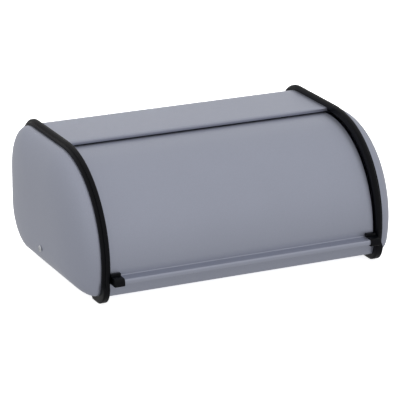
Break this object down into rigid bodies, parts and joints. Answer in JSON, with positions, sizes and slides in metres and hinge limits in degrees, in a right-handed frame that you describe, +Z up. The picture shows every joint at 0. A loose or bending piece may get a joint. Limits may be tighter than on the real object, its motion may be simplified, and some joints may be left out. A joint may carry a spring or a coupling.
{
  "type": "bread box",
  "caption": "Countertop bread box with a steel roll-top lid that swings back inside on two side pivots, domed end caps, black trim rings and a ledge handle.",
  "frame": {"origin": "on the resting surface, under the middle of the whole box, handle included", "axes": "+X along the width to the box's right seen from the front, +Y from the front to the back, +Z up"},
  "size_m": [0.4388, 0.2818, 0.172],
  "materials": {
    "lacquered_steel": "satin metallic grey lacquer",
    "black_plastic": "moulded, satin",
    "zinc_steel": "zinc plated",
    "white_nylon": "moulded, natural"
  },
  "bodies": {
    "case": {"body_shell": "lacquered_steel", "end_cap_left": "lacquered_steel", "end_cap_right": "lacquered_steel", "trim_ring_left": "black_plastic", "trim_ring_right": "black_plastic", "pivot_screw_left": "zinc_steel", "pivot_screw_right": "zinc_steel", "pivot_spacer_left": "white_nylon", "pivot_spacer_right": "white_nylon", "pivot_washer_left": "zinc_steel", "pivot_washer_right": "zinc_steel", "pivot_nut_left": "zinc_steel", "pivot_nut_right": "zinc_steel"},
    "lid": {"lid_sheet": "lacquered_steel", "lid_arm_left": "lacquered_steel", "lid_arm_right": "lacquered_steel", "handle_bumper_left": "black_plastic", "handle_bumper_right": "black_plastic", "pivot_bush_left": "white_nylon", "pivot_bush_right": "white_nylon"}
  },
  "joints": [
    {"name": "lid_roll", "type": "hinge", "parent": "case", "child": "lid", "pos_m": [0, -0.00317, 0.0392], "axis": [-1, 0, 0], "range_deg": [0, 88]}
  ]
}
